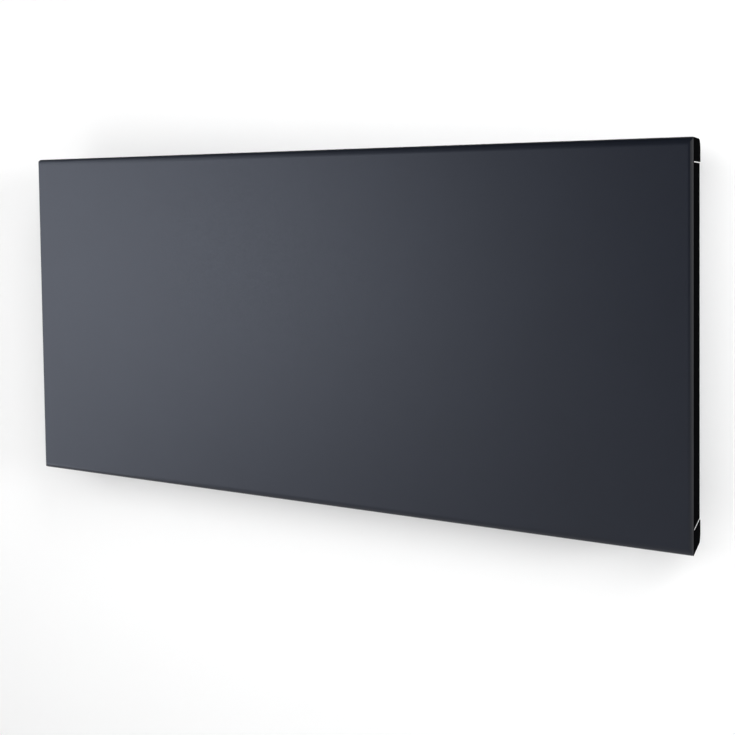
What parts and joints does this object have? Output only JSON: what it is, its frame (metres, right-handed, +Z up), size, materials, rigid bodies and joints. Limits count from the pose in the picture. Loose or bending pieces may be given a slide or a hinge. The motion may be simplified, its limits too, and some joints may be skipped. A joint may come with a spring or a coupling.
{
  "type": "electric panel radiator",
  "caption": "Flat wall-hung electric panel radiator with folded steel shell, finned heating element, slotted air outlets and a hook-on wall bracket.",
  "frame": {"origin": "on the wall, behind the middle of the panel, at the rear face of the bracket's rail", "axes": "+X to the right of someone facing the heater, along its length; +Y into the wall; +Z up"},
  "size_m": [0.7538, 0.08, 0.37],
  "materials": {
    "anthracite_powder_coat": "satin anthracite powder coat with a faint texture",
    "black_powder_coat": "matt black powder coat",
    "zinc_coated_steel": "zinc-coated sheet, dull",
    "zinc_plated_screw": "zinc plated",
    "bright_aluminium": "mill finish",
    "ceramic": "unglazed ceramic, off-white",
    "white_plastic": "moulded, matt",
    "black_plastic": "moulded, fine texture",
    "board_green": "solder mask",
    "smoked_window": "dark, polished",
    "brown_insulation": "flexible insulation",
    "blue_insulation": "flexible insulation",
    "green_insulation": "flexible insulation"
  },
  "bodies": {
    "bracket": {"wall_bracket": "black_powder_coat"},
    "heater": {"front_panel": "anthracite_powder_coat", "end_plate_right": "black_powder_coat", "end_plate_left": "black_powder_coat", "rear_cover": "zinc_coated_steel", "element_bracket_left": "zinc_coated_steel", "element_bracket_right": "zinc_coated_steel", "cutout_strap": "zinc_coated_steel", "heat_reflector": "bright_aluminium", "heating_element": "bright_aluminium", "element_bush_left": "ceramic", "element_bush_right": "ceramic", "thermal_cutout": "ceramic", "terminal_block": "white_plastic", "control_relay": "white_plastic", "cable_gland": "black_plastic", "control_housing": "black_plastic", "control_fascia": "black_plastic", "room_sensor": "black_plastic", "switch_body": "black_plastic", "control_board": "board_green", "display_window": "smoked_window", "supply_lead": "brown_insulation", "live_lead": "brown_insulation", "neutral_lead": "blue_insulation", "earth_lead": "green_insulation", "earth_screw": "zinc_plated_screw", "cover_screw_1": "zinc_plated_screw", "cover_screw_2": "zinc_plated_screw", "cover_screw_3": "zinc_plated_screw", "cover_screw_4": "zinc_plated_screw", "cover_screw_5": "zinc_plated_screw", "cover_screw_6": "zinc_plated_screw", "bracket_rivet_1": "bright_aluminium", "bracket_rivet_2": "bright_aluminium", "bracket_rivet_3": "bright_aluminium", "bracket_rivet_4": "bright_aluminium"},
    "button_up": {"button_up": "black_plastic"},
    "button_down": {"button_down": "black_plastic"},
    "button_mode": {"button_mode": "black_plastic"},
    "power_rocker": {"power_rocker": "black_plastic"}
  },
  "joints": [
    {"name": "lift", "type": "slide", "parent": "bracket", "child": "heater", "axis": [0, 0, 1], "range_m": [0, 0.01]},
    {"name": "button_up_press", "type": "slide", "parent": "heater", "child": "button_up", "axis": [1, 0, 0], "range_m": [0, 0.0008], "stiffness_N_per_m": 2500, "springref_m": -0.0004},
    {"name": "button_down_press", "type": "slide", "parent": "heater", "child": "button_down", "axis": [1, 0, 0], "range_m": [0, 0.0008], "stiffness_N_per_m": 2500, "springref_m": -0.0004},
    {"name": "button_mode_press", "type": "slide", "parent": "heater", "child": "button_mode", "axis": [1, 0, 0], "range_m": [0, 0.0008], "stiffness_N_per_m": 2500, "springref_m": -0.0004},
    {"name": "rocker_tilt", "type": "hinge", "parent": "heater", "child": "power_rocker", "pos_m": [-0.3737, -0.05865, 0], "axis": [0, 1, 0], "range_deg": [0, 14]}
  ]
}
